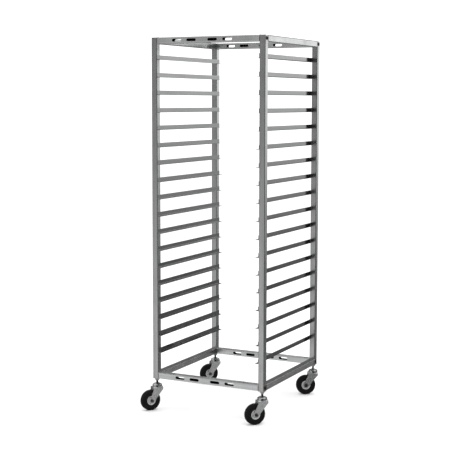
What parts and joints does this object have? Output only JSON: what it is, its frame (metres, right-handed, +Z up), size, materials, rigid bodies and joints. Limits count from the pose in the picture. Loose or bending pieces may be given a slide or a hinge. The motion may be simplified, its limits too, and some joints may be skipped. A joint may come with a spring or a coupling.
{
  "type": "sheet pan rack",
  "caption": "Tall welded square-tube rack on swivel casters, with L-section runners between its posts that hold sheet pans, and slotted crossbars front and back.",
  "frame": {"origin": "on the floor, in the middle of the ground that the frame and its trailing casters cover at rest", "axes": "+Z up, +X to the right and +Y to the back as seen from the open front"},
  "size_m": [0.6633, 0.7289, 1.811],
  "materials": {
    "frame_tube": "bright polished stainless steel tube",
    "runner_steel": "bright polished stainless steel sheet",
    "adapter_zinc": "zinc plated, satin",
    "stem_steel": "dark oiled steel",
    "ball_steel": "polished bearing steel",
    "caster_chrome": "bright zinc plate",
    "fork_zinc": "bright zinc plate with fine press marks",
    "fastener_zinc": "zinc plated",
    "hub_nylon": "light grey moulded nylon",
    "tyre_rubber": "matt black rubber"
  },
  "bodies": {
    "root": {"post_front_left": "frame_tube", "post_front_right": "frame_tube", "post_back_left": "frame_tube", "post_back_right": "frame_tube", "post_caps": "frame_tube", "post_screws": "fastener_zinc", "crossbar_top_front": "frame_tube", "crossbar_top_back": "frame_tube", "crossbar_bottom_front": "frame_tube", "crossbar_bottom_back": "frame_tube", "side_rail_top_left": "frame_tube", "side_rail_top_right": "frame_tube", "side_rail_bottom_left": "frame_tube", "side_rail_bottom_right": "frame_tube", "runner_pair_01": "runner_steel", "runner_pair_02": "runner_steel", "runner_pair_03": "runner_steel", "runner_pair_04": "runner_steel", "runner_pair_05": "runner_steel", "runner_pair_06": "runner_steel", "runner_pair_07": "runner_steel", "runner_pair_08": "runner_steel", "runner_pair_09": "runner_steel", "runner_pair_10": "runner_steel", "runner_pair_11": "runner_steel", "runner_pair_12": "runner_steel", "runner_pair_13": "runner_steel", "runner_pair_14": "runner_steel", "runner_pair_15": "runner_steel", "runner_pair_16": "runner_steel", "runner_pair_17": "runner_steel", "runner_pair_18": "runner_steel", "stem_adapters": "adapter_zinc", "caster_stems": "stem_steel", "swivel_balls": "ball_steel", "dome_front_left": "caster_chrome", "dome_front_right": "caster_chrome", "dome_back_left": "caster_chrome", "dome_back_right": "caster_chrome"},
    "caster_front_left": {"fork_front_left": "fork_zinc", "axle_bolt_front_left": "fastener_zinc", "axle_bush_front_left": "fastener_zinc"},
    "wheel_front_left": {"hub_front_left": "hub_nylon", "tyre_front_left": "tyre_rubber"},
    "caster_front_right": {"fork_front_right": "fork_zinc", "axle_bolt_front_right": "fastener_zinc", "axle_bush_front_right": "fastener_zinc"},
    "wheel_front_right": {"hub_front_right": "hub_nylon", "tyre_front_right": "tyre_rubber"},
    "caster_back_left": {"fork_back_left": "fork_zinc", "axle_bolt_back_left": "fastener_zinc", "axle_bush_back_left": "fastener_zinc"},
    "wheel_back_left": {"hub_back_left": "hub_nylon", "tyre_back_left": "tyre_rubber"},
    "caster_back_right": {"fork_back_right": "fork_zinc", "axle_bolt_back_right": "fastener_zinc", "axle_bush_back_right": "fastener_zinc"},
    "wheel_back_right": {"hub_back_right": "hub_nylon", "tyre_back_right": "tyre_rubber"}
  },
  "joints": [
    {"name": "swivel_front_left", "type": "hinge", "parent": "root", "child": "caster_front_left", "pos_m": [-0.26504, -0.28238, 0.1135], "axis": [0, 0, 1], "continuous": true},
    {"name": "roll_front_left", "type": "hinge", "parent": "caster_front_left", "child": "wheel_front_left", "pos_m": [-0.28574, -0.31425, 0.05], "axis": [0.8387, -0.5446, 0], "continuous": true},
    {"name": "swivel_front_right", "type": "hinge", "parent": "root", "child": "caster_front_right", "pos_m": [0.30496, -0.28238, 0.1135], "axis": [0, 0, 1], "continuous": true},
    {"name": "roll_front_right", "type": "hinge", "parent": "caster_front_right", "child": "wheel_front_right", "pos_m": [0.28003, -0.31106, 0.05], "axis": [0.7547, -0.6561, 0], "continuous": true},
    {"name": "swivel_back_left", "type": "hinge", "parent": "root", "child": "caster_back_left", "pos_m": [-0.26504, 0.33762, 0.1135], "axis": [0, 0, 1], "continuous": true},
    {"name": "roll_back_left", "type": "hinge", "parent": "caster_back_left", "child": "wheel_back_left", "pos_m": [-0.28896, 0.30809, 0.05], "axis": [0.7771, -0.6293, 0], "continuous": true},
    {"name": "swivel_back_right", "type": "hinge", "parent": "root", "child": "caster_back_right", "pos_m": [0.30496, 0.33762, 0.1135], "axis": [0, 0, 1], "continuous": true},
    {"name": "roll_back_right", "type": "hinge", "parent": "caster_back_right", "child": "wheel_back_right", "pos_m": [0.27273, 0.31749, 0.05], "axis": [0.5299, -0.848, 0], "continuous": true}
  ]
}
